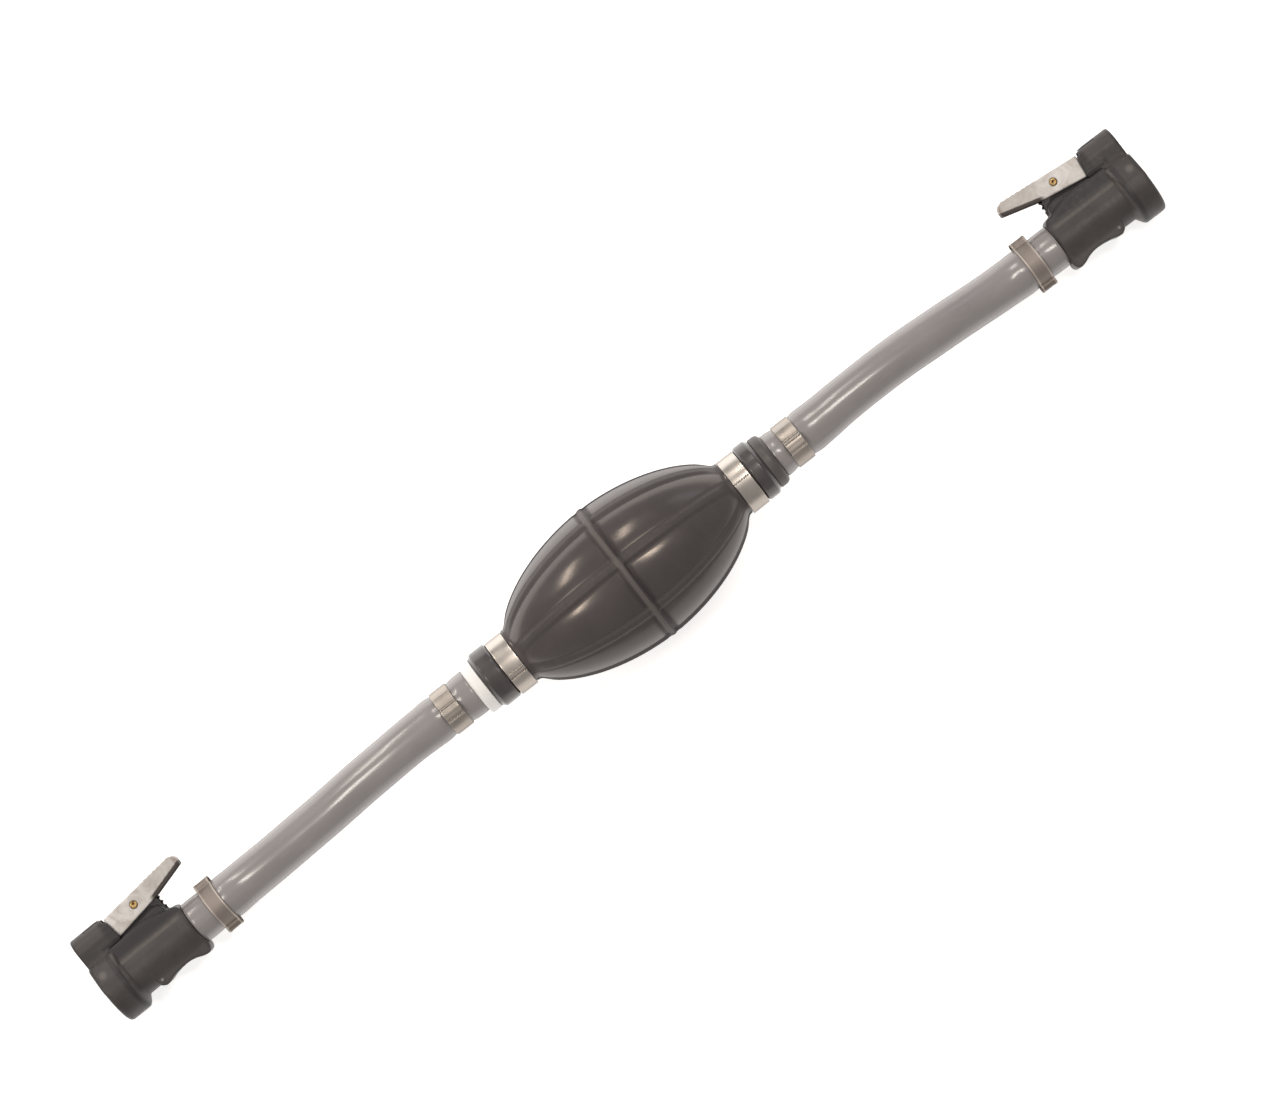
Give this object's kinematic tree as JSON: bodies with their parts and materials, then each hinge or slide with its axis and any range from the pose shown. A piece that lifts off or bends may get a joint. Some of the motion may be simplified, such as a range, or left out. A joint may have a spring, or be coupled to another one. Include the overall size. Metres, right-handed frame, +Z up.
{
  "type": "siphon bulb pump",
  "caption": "Hand-squeezed rubber siphon bulb with check valves at both ends, short hoses and a latching two-prong quick coupler on each end.",
  "frame": {"origin": "middle of the box, on the surface the pump lies on", "axes": "+X along the bulb towards the outlet, +Y to the side the latch levers are on, +Z up"},
  "size_m": [0.4798, 0.0568, 0.0568],
  "materials": {
    "bulb_rubber": "moulded black rubber with a soft gloss",
    "hose_vinyl": "glossy grey flexible hose",
    "clamp_steel": "rolled stainless strip",
    "black_nylon": "satin black moulding",
    "white_nylon": "white moulding",
    "coupler_plastic": "satin black moulding with a fine grain",
    "lever_alloy": "tumbled die-cast alloy",
    "pin_brass": "worn brass",
    "dark_spring": "blackened spring wire",
    "spring_steel": "bright spring wire",
    "seal_rubber": "smooth black rubber",
    "valve_acetal": "smooth off-white moulding",
    "valve_elastomer": "orange-brown valve rubber"
  },
  "bodies": {
    "pump": {"bulb": "bulb_rubber", "outlet_bulb_clamp": "clamp_steel", "inlet_bulb_clamp": "clamp_steel", "outlet_valve_fitting": "black_nylon", "inlet_valve_fitting": "white_nylon", "outlet_valve_seat": "valve_acetal", "inlet_valve_retainer": "valve_acetal", "outlet_valve_spring": "spring_steel", "inlet_valve_spring": "spring_steel", "outlet_hose": "hose_vinyl", "inlet_hose": "hose_vinyl", "outlet_ear_clamp": "clamp_steel", "inlet_ear_clamp": "clamp_steel", "outlet_coupler_clamp": "clamp_steel", "inlet_coupler_clamp": "clamp_steel", "outlet_coupler_body": "coupler_plastic", "inlet_coupler_body": "coupler_plastic", "outlet_coupler_cap": "coupler_plastic", "inlet_coupler_cap": "coupler_plastic", "outlet_latch_pin": "pin_brass", "inlet_latch_pin": "pin_brass", "outlet_latch_spring": "dark_spring", "inlet_latch_spring": "dark_spring", "outlet_port_seal": "seal_rubber", "inlet_port_seal": "seal_rubber", "outlet_port_spring": "spring_steel", "inlet_port_spring": "spring_steel"},
    "outlet_latch": {"outlet_latch_lever": "lever_alloy"},
    "inlet_latch": {"inlet_latch_lever": "lever_alloy"},
    "outlet_shutoff": {"outlet_port_poppet": "valve_acetal"},
    "inlet_shutoff": {"inlet_port_poppet": "valve_acetal"},
    "outlet_check": {"outlet_valve_poppet": "valve_elastomer"},
    "inlet_check": {"inlet_valve_poppet": "valve_elastomer"}
  },
  "joints": [
    {"name": "outlet_latch_rock", "type": "hinge", "parent": "pump", "child": "outlet_latch", "pos_m": [0.21195, 0.0162, 0.0126], "axis": [0, 0, 1], "range_deg": [0, 5], "stiffness_Nm_per_rad": 0.2, "springref_deg": -5.73, "deforming": ["outlet_latch_spring"]},
    {"name": "inlet_latch_rock", "type": "hinge", "parent": "pump", "child": "inlet_latch", "pos_m": [-0.21202, 0.01493, 0.0126], "axis": [0, 0, -1], "range_deg": [0, 5], "stiffness_Nm_per_rad": 0.2, "springref_deg": -5.73, "deforming": ["inlet_latch_spring"]},
    {"name": "outlet_shutoff_slide", "type": "slide", "parent": "pump", "child": "outlet_shutoff", "axis": [-0.9999, 0.0157, 0], "range_m": [0, 0.003], "stiffness_N_per_m": 600, "springref_m": -0.002, "deforming": ["outlet_port_spring"]},
    {"name": "inlet_shutoff_slide", "type": "slide", "parent": "pump", "child": "inlet_shutoff", "axis": [0.9997, 0.0244, 0], "range_m": [0, 0.003], "stiffness_N_per_m": 600, "springref_m": -0.002, "deforming": ["inlet_port_spring"]},
    {"name": "outlet_check_slide", "type": "slide", "parent": "pump", "child": "outlet_check", "axis": [1, 0, 0], "range_m": [0, 0.0022], "stiffness_N_per_m": 60, "springref_m": -0.001, "deforming": ["outlet_valve_spring", "bulb"]},
    {"name": "inlet_check_slide", "type": "slide", "parent": "pump", "child": "inlet_check", "axis": [1, 0, 0], "range_m": [0, 0.0022], "stiffness_N_per_m": 60, "springref_m": -0.001, "deforming": ["inlet_valve_spring"]}
  ]
}
